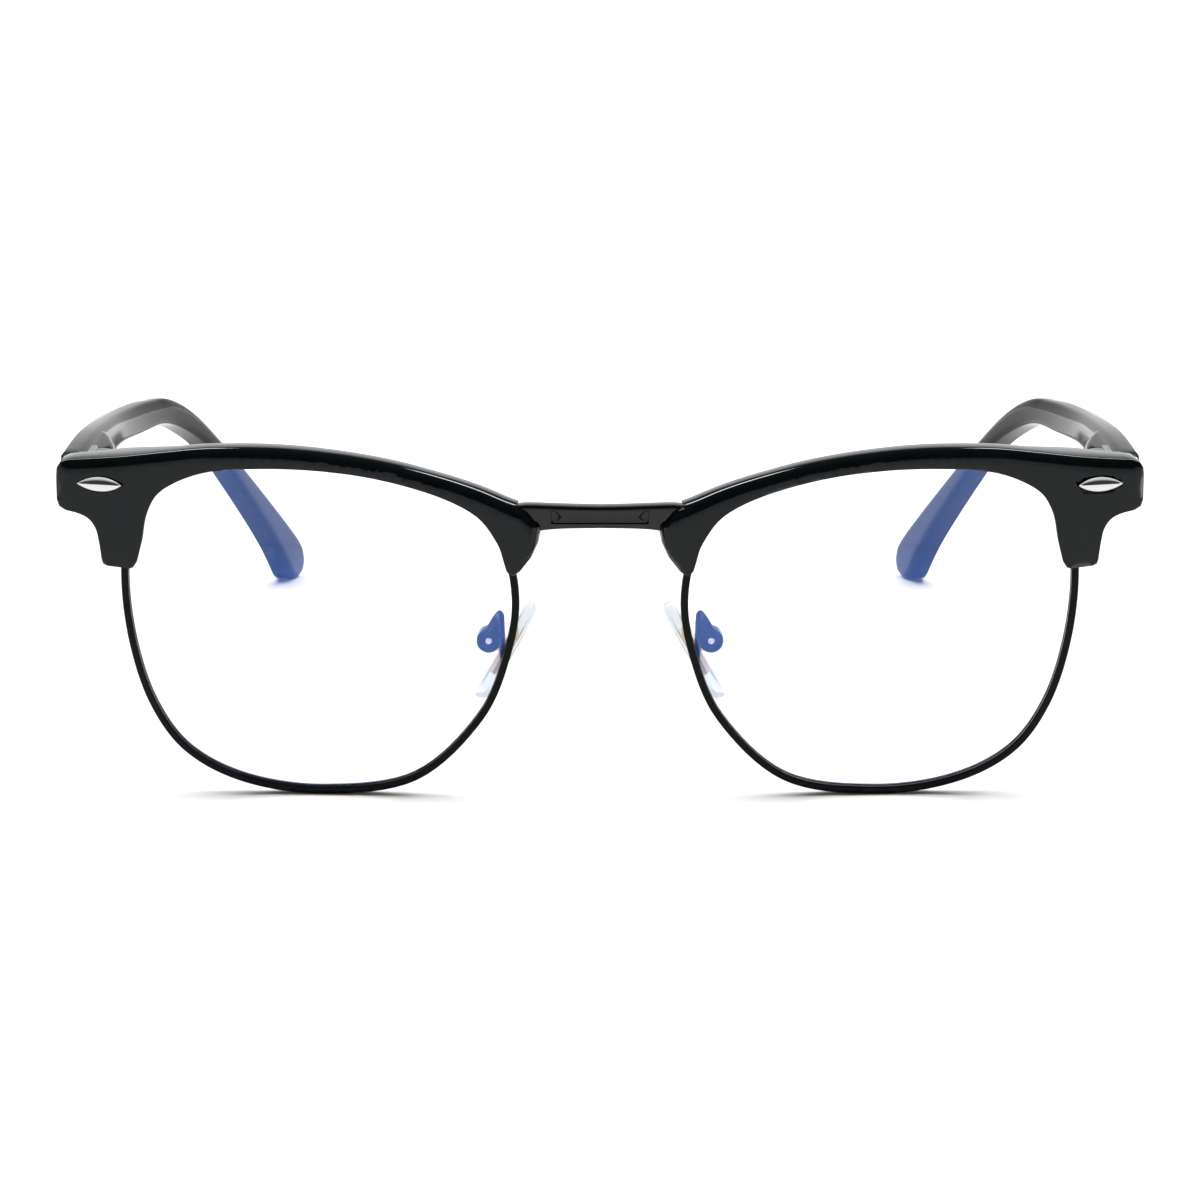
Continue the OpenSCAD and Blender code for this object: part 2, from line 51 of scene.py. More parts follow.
# Driving sizes, in millimetres, in the part's own frame: x from the middle, y back from the brows' apex, z up
APEX_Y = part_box("brow_left")[0].y
END_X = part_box("brow_right")[1].x / MM
FRONT_R = 130.0        # radius of the front curve and of the lenses
WRAP_X = 30.0          # x of each side's centre of curvature
EYE_Z = 22.0
BROW_D = 5.0
RIM_W, RIM_D, RIM_SETBACK = 1.0, 2.0, 0.6
LENS_T = 1.6
BRIDGE_D, BRIDGE_SETBACK = 3.0, 3.0
PANEL_X, PANEL_Z, PANEL_DEEP = 6.25, (35.65, 37.35), 0.45    # the bridge's sunk panel
TEMPLE_T = 3.5
HINGE_BACK = 11.6
TEMPLE_Y = HINGE_BACK + 0.15
PAD_AT = (12.35, 11.2, 17.2)
PAD_LEAN = math.radians(29.6)
PAD_L, PAD_W, PAD_T = 14.6, 7.4, 1.8
SOCKET_AT = (14.5, 10.2, 18.9)
SOCKET_R, SOCKET_L = 1.6, 2.8
RIVET_AT = (END_X - 6, 40.6)

RIM_LINE = [
    (35.4, 0.5), (45.7, 1.75), (53.3, 5.55), (57.8, 11.8), (60.3, 20), (61.15, 28.5), (60.2, 35),
    (56.2, 40.6), (48.4, 43.4), (38, 43.8), (27, 42.2), (17.8, 38.9), (12.7, 33.6), (10.85, 26.5),
    (11.85, 19), (15.5, 10.3), (23.9, 2.35),
]
# The brow's outline in five stretches, anticlockwise seen from the back
BROW_TOP = [
    (9.4, 37.8), (11.5, 38.6), (15.3, 40.3), (20, 41.95), (26.8, 43.85), (34.4, 45.15), (42, 45.75),
    (50, 45.6), (56, 44.9), (62, 44.05), (END_X - 1.5, 43.4),
]
BROW_END = [
    (END_X - 0.6, 43.1), (END_X - 0.1, 42.4), (END_X, 41.5), (END_X, 38.2), (END_X - 0.3, 37.3),
    (END_X - 1.1, 36.85),
]
BROW_HOLLOW = [(67, 36.5), (65.7, 35.9), (64.8, 34.7), (64.4, 33), (64.1, 30.7)]
BROW_FOOT = [(63.9, 30.1), (63.3, 29.85), (60.4, 29.65), (59.9, 29.8)]
BROW_INNER = [
    (59.35, 30.6), (58.6, 33.5), (57.8, 37.2), (55.7, 40.15), (50.5, 42.45), (43.7, 43.15), (36, 43),
    (28.4, 41.95), (20.9, 39.75), (15.8, 37), (13.2, 33.5), (12.35, 31), (12, 29.8),
]
BROW_NOSE = [(11.3, 28.95), (10.2, 29.6), (8.7, 31.4), (7.8, 33.3), (7.4, 35.4), (7.8, 36.8)]
END_BLOCK = [(50, 5), (52, 6.5), (55, 7.7), (58, 9.6), (60.4, 11.1), (61.2, HINGE_BACK), (72, HINGE_BACK)]
# The bridge's right half: the underside from the middle out, then the top back to the middle
BRIDGE_UNDER = [(0, 35.05), (4, 35), (6.6, 34.85), (8.5, 34.55)]
BRIDGE_OVER = [(11.6, 37.75), (9.5, 38.05), (6, 37.95), (3, 37.85), (0, 37.8)]
TEMPLE_PLAN = [
    (TEMPLE_Y, END_X), (40, END_X + 0.45), (60, END_X - 0.05), (80, END_X - 3), (105, END_X - 9.7),
    (133, END_X - 17.5), (137, END_X - 18.5),
]
TEMPLE_TOP = [
    (TEMPLE_Y, 42.8), (16, 43.1), (33, 42.5), (60, 40.3), (76, 39.1), (84, 37.9), (93, 34), (104, 27),
    (120, 16.2), (133.5, 6.6), (136, 3.6),
]
TEMPLE_TIP = [(136.3, 2.2), (135.4, 0.6), (133.4, 0), (131.6, 0.2)]
TEMPLE_BOTTOM = [
    (130.4, 1), (124, 7.6), (112, 17.6), (100, 26.6), (90, 31.8), (80, 34.9), (68, 35.7), (50, 37),
    (30, 37.2), (TEMPLE_Y, 37),
]
BOSS_PLAN = [
    (END_X - 1.9, 20), (END_X - 3.7, 20.2), (END_X - 5, 21.5), (END_X - 5.4, 24), (END_X - 4.9, 28),
    (END_X - 3.7, 33), (END_X - 1.9, 38),
]
BOSS_Z = (38.3, 42.1)
ARM_LINE = [
    (12.5, 3.7, 17.4), (12.6, 5.2, 18), (12.75, 6.4, 22), (12.9, 7.2, 22.8), (13.5, 8.2, 22.2),
    (14.7, 9.15, 20),
]
ARM_FIN = [(12.6, 18.2), (13.2, 19.2), (14.3, 20.3), (13.6, 22), (12.95, 22.6), (12.7, 21.5)]


def at(x, y, z):
    """A point of the part's frame, in millimetres, as a point of the row frame, in metres."""
    return (x * MM, APEX_Y + y * MM, z * MM)


def fall(x):
    """How far the front curve falls back at x."""
    return FRONT_R - math.sqrt(FRONT_R ** 2 - (x - WRAP_X) ** 2)


def dome(x, z):
    """How far the lens sphere falls back at x, z."""
    return FRONT_R - math.sqrt(FRONT_R ** 2 - (x - WRAP_X) ** 2 - (z - EYE_Z) ** 2)


# ---- curves ----

def smooth(points, closed=False, steps=8):
    """A Catmull-Rom curve through the points, with its last point kept if it is open."""
    p = np.array(points, float)
    n = len(p)
    t = (np.arange(steps) / steps)[:, None]
    curve = []
    for i in range(n if closed else n - 1):
        if closed:
            a, b, c, d = p[i - 1], p[i], p[(i + 1) % n], p[(i + 2) % n]
        else:
            a, b, c, d = p[max(i - 1, 0)], p[i], p[i + 1], p[min(i + 2, n - 1)]
        cubic = (2 * b + (c - a) * t + (2 * a - 5 * b + 4 * c - d) * t ** 2
                 + (3 * b - a - 3 * c + d) * t ** 3) / 2
        curve.append(cubic)
    if not closed:
        curve.append(p[-1:])
    return np.vstack(curve)


def even(points, spacing):
    """A closed outline cut again into nearly equal steps, with its sharp corners kept."""
    p = np.array(points, float)
    ahead = np.roll(p, -1, 0) - p
    behind = p - np.roll(p, 1, 0)
    turn = np.abs(np.angle((ahead[:, 0] + 1j * ahead[:, 1]) / (behind[:, 0] + 1j * behind[:, 1])))
    # an outline without a sharp corner is cut from its first point round to it again
    corners = [i for i in range(len(p)) if turn[i] > math.radians(50)] or [0]
    out = []
    for k, i in enumerate(corners):
        j = corners[(k + 1) % len(corners)]
        run = p[i:j + 1] if j > i else np.vstack([p[i:], p[:j + 1]])
        along = np.concatenate([[0], np.cumsum(np.linalg.norm(np.diff(run, axis=0), axis=1))])
        n = max(2, int(round(along[-1] / spacing)))
        s = np.linspace(0, along[-1], n + 1)[:-1]
        out.append(np.column_stack([np.interp(s, along, run[:, 0]), np.interp(s, along, run[:, 1])]))
    return np.vstack(out)


def normals(p):
    """Outward directions along a closed anticlockwise outline."""
    along = np.roll(p, -1, 0) - np.roll(p, 1, 0)
    n = np.column_stack([along[:, 1], -along[:, 0]])
    return n / np.linalg.norm(n, axis=1)[:, None]


def area(p):
    """Area of an outline, positive when it runs anticlockwise."""
    q = np.roll(p, -1, 0)
    return float((p[:, 0] * q[:, 1] - q[:, 0] * p[:, 1]).sum() / 2)


def inwards(p, outline):
    """Distance of each point from the outline, negative outside it, and the outline's nearest place."""
    a = outline
    b = np.roll(outline, -1, 0)
    ab = b - a
    best = np.full(len(p), 1e9)
    where = np.zeros(len(p))
    inside = np.zeros(len(p), bool)
    for i in range(len(a)):
        t = np.clip(((p - a[i]) @ ab[i]) / max(ab[i] @ ab[i], 1e-12), 0, 1)
        d = np.linalg.norm(p - (a[i] + t[:, None] * ab[i]), axis=1)
        nearer = d < best
        best[nearer] = d[nearer]
        where[nearer] = (i + t)[nearer]
        over = (a[i, 1] > p[:, 1]) != (b[i, 1] > p[:, 1])
        cut = a[i, 0] + (p[:, 1] - a[i, 1]) * ab[i, 0] / (ab[i, 1] if ab[i, 1] else 1e-12)
        inside ^= over & (p[:, 0] < cut)
    return np.where(inside, best, -best), where


# ---- meshes ----

def mesh_object(name, points, faces, sharp=40):
    """A mesh object with its normals outwards, smooth but for edges sharper than sharp degrees."""
    mesh = bpy.data.meshes.new(name)
    mesh.from_pydata([tuple(p) for p in points], [], [tuple(f) for f in faces])
    mesh.validate()
    obj = bpy.data.objects.new(name, mesh)
    bpy.context.scene.collection.objects.link(obj)
    face_out(mesh)
    soften(mesh, sharp)
    return obj


def face_out(mesh):
    """Turn every face outwards."""
    bm = bmesh.new()
    bm.from_mesh(mesh)
    bmesh.ops.recalc_face_normals(bm, faces=bm.faces)
    bm.to_mesh(mesh)
    bm.free()


def soften(mesh, sharp):
    """Smooth shading but for edges sharper than sharp degrees."""
    mesh.polygons.foreach_set("use_smooth", [True] * len(mesh.polygons))
    mesh.set_sharp_from_angle(angle=math.radians(sharp))


def rounding(d, width, height):
    """How far a rounded edge has dropped at distance d in from it."""
    t = np.clip(1 - d / np.maximum(width, 1e-6), 0, 1)
    return height * (1 - np.sqrt(np.maximum(1 - t ** 2, 0)))


def ridged(d, width, height):
    """The same for a flat slope."""
    return height * np.clip(1 - d / np.maximum(width, 1e-6), 0, 1)


def sheet_points(outline, width, step):
    """The outline, rings inside it over the rounded edge and an even grid in the middle, as triangles."""
    out = normals(outline)
    extra = []
    for angle in (15, 30, 45, 60, 75, 90):
        inset = (1 - math.cos(math.radians(angle))) * width
        ring = outline - out * inset[:, None]
        d, _ = inwards(ring, outline)
        # leave out points that a corner or a bend brings nearer to the outline than their ring is
        extra.append(ring[d > inset * 0.93])
    lo, hi = outline.min(0), outline.max(0)
    row = step * math.sqrt(3) / 2
    grid = [
        (x + (step / 2 if k % 2 else 0), z)
        for k, z in enumerate(np.arange(lo[1], hi[1], row))
        for x in np.arange(lo[0], hi[0], step)
    ]
    if grid:
        grid = np.array(grid)
        d, where = inwards(grid, outline)
        w = width[where.astype(int) % len(width)]
        # keep the grid a little clear of the last ring
        extra.append(grid[d > w + step * 0.35])
    points = np.vstack([outline] + extra)
    n = len(outline)
    verts, _, tris, origin, _, _ = delaunay_2d_cdt(
        [Vector(p) for p in points], [(i, (i + 1) % n) for i in range(n)], [], 1, 1e-5)
    index = {}
    for new, olds in enumerate(origin):
        for old in olds:
            index[old] = new
    rim = [index[i] for i in range(n)]
    return np.array([tuple(v) for v in verts]), [tuple(t) for t in tris], rim


def slab(name, outline, place, thick, front, back, step=1.2, profile=rounding, sharp=40):
    """A closed solid over a flat outline. place(u, v, depth) puts a point in the frame, thick(u, v) is the
    depth of the back face, and front and back are the width and height of the rounded edges, which may
    be lists with a value for each point of the outline."""
    n = len(outline)
    points, faces, walls = [], [], []
    for side, (width, height) in enumerate((front, back)):
        width = np.broadcast_to(np.asarray(width, float), (n,))
        height = np.broadcast_to(np.asarray(height, float), (n,))
        flat, tris, rim = sheet_points(outline, width, step)
        d, where = inwards(flat, outline)
        d[rim] = 0
        near = where.astype(int) % n
        share = where - where.astype(int)
        after = (near + 1) % n
        w = width[near] * (1 - share) + width[after] * share
        h = height[near] * (1 - share) + height[after] * share
        drop = profile(d, w, h)
        start = len(points)
        for (u, v), s in zip(flat, drop):
            points.append(place(u, v, s if side == 0 else thick(u, v) - s))
        faces += [tuple(start + i for i in (t if side == 0 else t[::-1])) for t in tris]
        walls.append([start + i for i in rim])
    for i in range(n):
        j = (i + 1) % n
        faces.append((walls[0][i], walls[1][i], walls[1][j], walls[0][j]))
    return mesh_object(name, points, faces, sharp)


def sweep(name, section, line, frame_at, closed=True, sharp=50):
    """A section carried along a line. frame_at(i, a, b) places the section's point a, b at step i."""
    n, m = len(line), len(section)
    points = [frame_at(i, a, b) for i in range(n) for a, b in section]
    faces = []
    for i in range(n if closed else n - 1):
        j = (i + 1) % n
        for k in range(m):
            after = (k + 1) % m
            faces.append((i * m + k, i * m + after, j * m + after, j * m + k))
    if not closed:
        faces.append(tuple(range(m)))
        faces.append(tuple((n - 1) * m + k for k in range(m)))
    return mesh_object(name, points, faces, sharp)


def tube(name, line, wide, thick, sides=16):
    """A tube along a line in the part's frame, with its half widths along x and across the line's plane."""
    p = np.array(line, float)
    along = np.gradient(p, axis=0)
    along /= np.linalg.norm(along, axis=1)[:, None]
    across = np.tile((1.0, 0.0, 0.0), (len(p), 1))
    across -= along * (across * along).sum(1)[:, None]
    across /= np.linalg.norm(across, axis=1)[:, None]
    up = np.cross(along, across)
    turn = np.linspace(0, 2 * math.pi, sides, endpoint=False)
    section = [(math.cos(a) * wide, math.sin(a) * thick) for a in turn]
    return sweep(name, section, p, lambda i, a, b: at(*(p[i] + across[i] * a + up[i] * b)), closed=False)


def lathe(name, centre, profile, sides=40):
    """A turned piece about an axis along y through centre. profile lists (radius, y)."""
    cx, cy, cz = centre
    turn = [2 * math.pi * i / sides for i in range(sides)]
    return sweep(
        name, profile, turn,
        lambda i, r, y: at(cx + r * math.cos(turn[i]), cy + y, cz + r * math.sin(turn[i])), sharp=35)


def joined(name, *objs):
    """One object made of several closed meshes."""
    points, faces = [], []
    for o in objs:
        start = len(points)
        points += [tuple(v.co) for v in o.data.vertices]
        faces += [tuple(start + i for i in p.vertices) for p in o.data.polygons]
        bpy.data.objects.remove(o)
    return mesh_object(name, points, faces)


def carved(obj, cutter, operation="DIFFERENCE"):
    """obj with cutter taken away, or kept only where it is inside cutter."""
    cut = obj.modifiers.new("cut", "BOOLEAN")
    cut.operation = operation
    cut.solver = "EXACT"
    cut.object = cutter
    graph = bpy.context.evaluated_depsgraph_get()
    mesh = bpy.data.meshes.new_from_object(obj.evaluated_get(graph))
    obj.modifiers.clear()
    obj.data = mesh
    soften(mesh, CARVED_SHARP)
    bpy.data.objects.remove(cutter)
    return obj


def mirrored(obj, name):
    """The same piece on the left."""
    points = [(-v.co.x, v.co.y, v.co.z) for v in obj.data.vertices]
    faces = [tuple(reversed(p.vertices)) for p in obj.data.polygons]
    return mesh_object(name, points, faces, CARVED_SHARP)


# ---- procedural materials ----

def new_material(name):
    """A node material with its tree and its Principled shader."""
    mat = bpy.data.materials.new(name)
    mat.use_nodes = True
    tree = mat.node_tree
    return mat, tree, tree.nodes["Principled BSDF"]


def noise(tree, scale, detail=3.0, stretch=(1, 1, 1)):
    """A noise value over the object, with scale repeats to the metre."""
    where = tree.nodes.new("ShaderNodeTexCoord")
    mapping = tree.nodes.new("ShaderNodeMapping")
    mapping.inputs["Scale"].default_value = stretch
    tex = tree.nodes.new("ShaderNodeTexNoise")
    tex.inputs["Scale"].default_value = scale
    tex.inputs["Detail"].default_value = detail
    tree.links.new(where.outputs["Object"], mapping.inputs["Vector"])
    tree.links.new(mapping.outputs["Vector"], tex.inputs["Vector"])
    return tex.outputs["Fac"]


def spread(tree, value, low, high):
    """value, from 0.3 to 0.7, carried to between low and high."""
    node = tree.nodes.new("ShaderNodeMapRange")
    node.inputs["From Min"].default_value = 0.3
    node.inputs["From Max"].default_value = 0.7
    node.inputs["To Min"].default_value = low
    node.inputs["To Max"].default_value = high
    tree.links.new(value, node.inputs["Value"])
    return node.outputs["Result"]


def colours(tree, value, first, second):
    """A colour from first to second as value goes from 0 to 1."""
    node = tree.nodes.new("ShaderNodeMix")
    node.data_type = "RGBA"
    node.inputs["A"].default_value = (*first, 1)
    node.inputs["B"].default_value = (*second, 1)
    tree.links.new(value, node.inputs["Factor"])
    return node.outputs["Result"]


def bumped(tree, value, strength):
    """A normal for bumps at most 20 micrometres high."""
    node = tree.nodes.new("ShaderNodeBump")
    node.inputs["Strength"].default_value = strength
    node.inputs["Distance"].default_value = 0.02 * MM
    tree.links.new(value, node.inputs["Height"])
    return node.outputs["Normal"]


def surface(name, first, second, rough, metallic=0.0, specular=0.5, grain=700, stretch=(1, 1, 1), bump=0.1):
    """A solid material: two close colours in soft patches, uneven polish in smaller ones and a fine bump."""
    mat, tree, shader = new_material(name)
    patches = noise(tree, grain, 4, stretch)
    tree.links.new(colours(tree, spread(tree, patches, 0, 1), first, second), shader.inputs["Base Color"])
    wear = noise(tree, grain * 2.3, 5, stretch)
    tree.links.new(spread(tree, wear, *rough), shader.inputs["Roughness"])
    shader.inputs["Metallic"].default_value = metallic
    shader.inputs["Specular IOR Level"].default_value = specular
    fine = noise(tree, grain * 4, 2, stretch)
    tree.links.new(bumped(tree, fine, bump), shader.inputs["Normal"])
    return mat


def lens_material():
    """Clear polycarbonate with a coating that mirrors a little blue light at each face."""
    mat, tree, shader = new_material("coated_lens")
    tree.nodes.remove(shader)
    clear = tree.nodes.new("ShaderNodeBsdfTransparent")
    mirror = tree.nodes.new("ShaderNodeBsdfGlossy")
    both = tree.nodes.new("ShaderNodeAddShader")
    share = noise(tree, 60, 2)
    tree.links.new(colours(tree, share, (0.975, 0.962, 0.925), (0.971, 0.958, 0.92)), clear.inputs["Color"])
    tree.links.new(colours(tree, share, (0.020, 0.040, 0.125), (0.023, 0.044, 0.135)), mirror.inputs["Color"])
    tree.links.new(spread(tree, noise(tree, 500, 3), 0.01, 0.03), mirror.inputs["Roughness"])
    tree.links.new(clear.outputs[0], both.inputs[0])
    tree.links.new(mirror.outputs[0], both.inputs[1])
    tree.links.new(both.outputs[0], tree.nodes["Material Output"].inputs["Surface"])
    return mat


def silicone_material():
    """Clear soft silicone: see-through, a little cloudy, with a satin skin."""
    mat, tree, shader = new_material("clear_silicone")
    cloud = noise(tree, 400, 4)
    tree.links.new(
        colours(tree, spread(tree, cloud, 0, 1), (0.80, 0.83, 0.86), (0.72, 0.76, 0.80)),
        shader.inputs["Base Color"])
    tree.links.new(spread(tree, noise(tree, 900, 3), 0.08, 0.2), shader.inputs["Roughness"])
    shader.inputs["Transmission Weight"].default_value = 0.75
    shader.inputs["IOR"].default_value = 1.18
    tree.links.new(bumped(tree, noise(tree, 2500, 2), 0.08), shader.inputs["Normal"])
    return mat


ACETATE = surface("black_acetate", (0.001, 0.0024, 0.0034), (0.002, 0.004, 0.005), (0.04, 0.08),
                  specular=0.22, grain=500, bump=0.01)
TEMPLE_PLASTIC = surface("temple_acetate", (0.0008, 0.0018, 0.0024), (0.0016, 0.003, 0.0036), (0.08, 0.14),
                         specular=0.06, grain=500, bump=0.01)
BLACK_METAL = surface("satin_black_metal", (0.0015, 0.002, 0.0025), (0.003, 0.0035, 0.004), (0.12, 0.2),
                      specular=0.35, grain=1500, bump=0.02)
WIRE = surface("black_wire", (0.001, 0.0012, 0.0016), (0.002, 0.0023, 0.003), (0.14, 0.22), specular=0.1,
               grain=1500, bump=0.02)
STEEL = surface("turned_steel", (0.50, 0.50, 0.51), (0.60, 0.60, 0.61), (0.22, 0.36), metallic=1,
                grain=1800, stretch=(1, 1, 4), bump=0.1)
POLISHED = surface("polished_trim", (0.58, 0.58, 0.56), (0.66, 0.66, 0.64), (0.10, 0.18), metallic=1,
                   grain=1400, stretch=(1, 3, 6), bump=0.05)
GOLD = surface("gold_plate", (0.80, 0.52, 0.18), (0.90, 0.62, 0.26), (0.14, 0.26), metallic=1,
               grain=1600, bump=0.08)
CORE = surface("core_strip", (0.40, 0.41, 0.43), (0.48, 0.49, 0.51), (0.3, 0.42), metallic=1,
               grain=1500, stretch=(1, 0.2, 1), bump=0.1)
LENS = lens_material()
SILICONE = silicone_material()


def dress(obj, mat):
    """Give obj one material."""
    obj.data.materials.clear()
    obj.data.materials.append(mat)
    return obj


def add_piece(obj, mat, body, node):
    """Put obj on its body in place of a CAD node."""
    dress(obj, mat)
    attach(obj, body)
    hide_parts(node)


def both_sides(obj, name, mat, bodies, node):
    """The right-hand piece and its mirror image, each in place of its CAD node."""
    obj.name = obj.data.name = name + "_right_shell"
    twin = mirrored(obj, name + "_left_shell")
    add_piece(obj, mat, bodies[1], node + "_right")
    add_piece(twin, mat, bodies[0], node + "_left")
    return twin, obj


FRONT = ("front", "front")
TEMPLES = ("temple_left", "temple_right")
PADS = ("pad_left", "pad_right")


# ---- the pieces ----

def cad_copy(node):
    """A separate object with a copy of a CAD node's mesh."""
    obj = bpy.data.objects.new("cad_" + node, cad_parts[node].data.copy())
    bpy.context.scene.collection.objects.link(obj)
    return obj


def brow_piece():
    """The plastic brow: a plate that follows the front curve, crowned along its top edge."""
    stretches = [smooth(BROW_TOP, steps=6), BROW_END, smooth([BROW_END[-1]] + BROW_HOLLOW, steps=4)[1:],
                 BROW_FOOT, smooth(BROW_INNER, steps=5), BROW_NOSE]
    outline = np.vstack([np.array(s, float) for s in stretches])
    # width and depth of the rounded front edge at the start and at the end of each stretch
    crown = [((1.7, 3.2), (1.7, 1.3)), ((0.7, 0.6), (0.45, 0.35)), ((0.3, 0.22), (0.25, 0.2)),
             ((0.25, 0.2), (0.25, 0.2)), ((0.45, 0.35), (0.3, 0.24)), ((0.5, 0.4), (1.5, 2.4))]
    width, height = [], []
    for s, (start, end) in zip(stretches, crown):
        share = np.linspace(0, 1, len(s))
        width += list(start[0] + (end[0] - start[0]) * share)
        height += list(start[1] + (end[1] - start[1]) * share)
    top = len(stretches[0])
    slimmer = 0.6    # over the lens than at either end
    width[:top] = list(np.array(width[:top]) - slimmer * np.sin(np.linspace(0, math.pi, top)))
    if area(outline) < 0:
        outline, width, height = outline[::-1], width[::-1], height[::-1]
    block_x = [p[0] for p in END_BLOCK]
    block_y = [p[1] for p in END_BLOCK]

    def thick(x, z):
        back = fall(x) + BROW_D
        if x > block_x[0]:
            back = max(back, float(np.interp(x, block_x, block_y)))
        return back - fall(x)

    # a hair inside the CAD brow, which then cuts its pockets into the plate
    edge_in, face_in, depth_share = 0.03, 0.02, 0.996
    inset = outline - normals(outline) * edge_in
    plate = slab("brow", inset, lambda x, z, d: at(x, fall(x) + face_in + d * depth_share, z), thick,
                 (width, height), (0.35, 0.3), step=0.7)
    return carved(plate, cad_copy("brow_right"), "INTERSECT")


def cad_corner(node, low, high):
    """The part of a CAD node's mesh inside a box with corners low and high, as (x, z)."""
    depth = (0, 20)
    box = [at(x, y, z) for x in (low[0], high[0]) for y in depth for z in (low[1], high[1])]
    sides = [(0, 1, 3, 2), (4, 5, 7, 6), (0, 1, 5, 4), (2, 3, 7, 6), (0, 2, 6, 4), (1, 3, 7, 5)]
    return carved(cad_copy(node), mesh_object("box", box, sides), "INTERSECT")


# boxes round the wire's nose tab and round its temple tab and closing block
RIM_CORNERS = [((7, 30), (12.6, 35)), ((59.6, 30.5), (67, 38))]


def rim_piece():
    """The eyewire, grooved inside for the lens, with its closing block and the two screw tabs."""
    line = smooth(RIM_LINE, closed=True, steps=8)
    out = normals(line)
    w, d, r = RIM_W / 2, RIM_D, 0.28
    groove_half, groove_deep = 0.35, 0.3
    corner_steps = 4
    section = []
    for sx, y0, first in ((1, r, -90), (1, d - r, 0), (-1, d - r, 90), (-1, r, 180)):
        for k in range(corner_steps + 1):
            a = math.radians(first + k * 90 / corner_steps)
            section.append((sx * (w - r) + math.cos(a) * r, y0 + math.sin(a) * r))
        if first == 90:
            # the lens groove, between the two corners on the inside
            section += [(-w, d / 2 + groove_half), (-w + groove_deep, d / 2), (-w, d / 2 - groove_half)]

    def place(i, a, b):
        x, z = line[i] + out[i] * a
        return at(x, dome(x, z) + RIM_SETBACK + b, z)

    wire = sweep("rim", section, line, place)
    return joined("rim", wire, *(cad_corner("rim_right", *corner) for corner in RIM_CORNERS))


both_sides(brow_piece(), "brow", ACETATE, FRONT, "brow")
both_sides(rim_piece(), "rim", WIRE, FRONT, "rim")


def lens_piece():
    """A dished lens with a bevelled edge that runs into the wire's groove."""
    line = smooth(RIM_LINE, closed=True, steps=8)
    into_wire = 0.25    # from the wire's middle line to the lens's edge
    line = line - normals(line) * into_wire
    front = RIM_SETBACK + RIM_D / 2 - LENS_T / 2
    return slab("lens", line, lambda x, z, d: at(x, dome(x, z) + front + d, z), lambda x, z: LENS_T,
                (0.5, 0.6), (0.5, 0.6), step=2.2, profile=ridged)


both_sides(lens_piece(), "lens", LENS, FRONT, "lens")


def bridge_piece():
    """The metal bar between the brows, with its sunk panel."""
    right = np.vstack([smooth(BRIDGE_UNDER, steps=4), smooth(BRIDGE_OVER, steps=4)])
    left = right[::-1] * (-1, 1)
    outline = np.vstack([right, left[1:-1]])
    bar = slab("bridge", outline, lambda x, z, d: at(x, BRIDGE_SETBACK + d, z), lambda x, z: BRIDGE_D,
               (0.45, 0.4), (0.4, 0.4), step=1.0)
    low, high = PANEL_Z
    panel_line = np.array([(PANEL_X, low), (PANEL_X, high), (-PANEL_X, high), (-PANEL_X, low)])
    sunk = slab("panel", even(panel_line, 0.4), lambda x, z, d: at(x, BRIDGE_SETBACK + PANEL_DEEP - d, z),
                lambda x, z: 1.0, (0.12, 0.12), (0, 0), step=0.8)
    carved(bar, sunk)
    return joined("bridge", bar, chevron(1), chevron(-1))


def chevron(side):
    """A raised arrowhead at one end of the sunk panel, pointing to the middle."""
    mid = sum(PANEL_Z) / 2
    tip, tail, half, wide = PANEL_X - 1.3, PANEL_X - 0.6, 0.7, 0.3
    line = [(tip, mid), (tail, mid + half), (tail + wide, mid + half), (tip + wide, mid),
            (tail + wide, mid - half), (tail, mid - half)]
    line = np.array([(side * x, z) for x, z in line])
    if area(line) < 0:
        line = line[::-1]
    below_face = 0.1
    return slab("chevron", line, lambda x, z, d: at(x, BRIDGE_SETBACK + below_face + d, z),
                lambda x, z: PANEL_DEEP, (0.12, 0.12), (0, 0), step=0.3)


bridge = bridge_piece()
bridge.name = bridge.data.name = "bridge_bar"
add_piece(bridge, BLACK_METAL, "front", "bridge")


def temple_piece():
    """The temple: side outline bent to its plan, crowned on both faces, with the boss behind its hinge."""
    outline = np.vstack([smooth(TEMPLE_TOP, steps=8), TEMPLE_TIP, smooth(TEMPLE_BOTTOM, steps=8)])
    if area(outline) < 0:
        outline = outline[::-1]
    outline = even(outline, 0.7)
    plan = smooth(TEMPLE_PLAN, steps=8)

    def place(y, z, d):
        return at(float(np.interp(y, plan[:, 0], plan[:, 1])) - d, y, z)

    # how wide each rounded edge is, from the bottom edge to the top one and from the arm to the tip
    upper = (normals(outline)[:, 1] + 1) / 2
    bend_y, bend_l = 78, 30
    tip = np.clip((outline[:, 0] - bend_y) / bend_l, 0, 1)
    crisp_l, crisp = 2.5, 0.12    # the edges of the butt end stay crisp
    butt = np.clip((outline[:, 0] - TEMPLE_Y) / crisp_l, crisp, 1)
    outer = (0.7 - 0.25 * upper) * (1 - tip) + (0.5 + 0.3 * upper) * tip
    inner = (0.8 + 1.1 * upper) * (1 - tip) + 0.9 * tip
    outer, inner = outer * butt, inner * butt
    depth = 0.85    # of a rounded edge, for a width of 1
    blade = slab("temple", outline, place, lambda y, z: TEMPLE_T, (outer, outer * depth),
                 (inner, inner * depth), step=1.1)
    boss_line = smooth(BOSS_PLAN, steps=5)
    if area(boss_line) < 0:
        boss_line = boss_line[::-1]
    boss_line = even(boss_line, 0.5)
    boss = slab("boss", boss_line, lambda x, y, d: at(x, y, BOSS_Z[0] + d),
                lambda x, y: BOSS_Z[1] - BOSS_Z[0], (0.6, 0.6), (0.9, 0.8), step=0.8)
    return joined("temple", blade, boss)


both_sides(temple_piece(), "temple", TEMPLE_PLASTIC, TEMPLES, "temple")


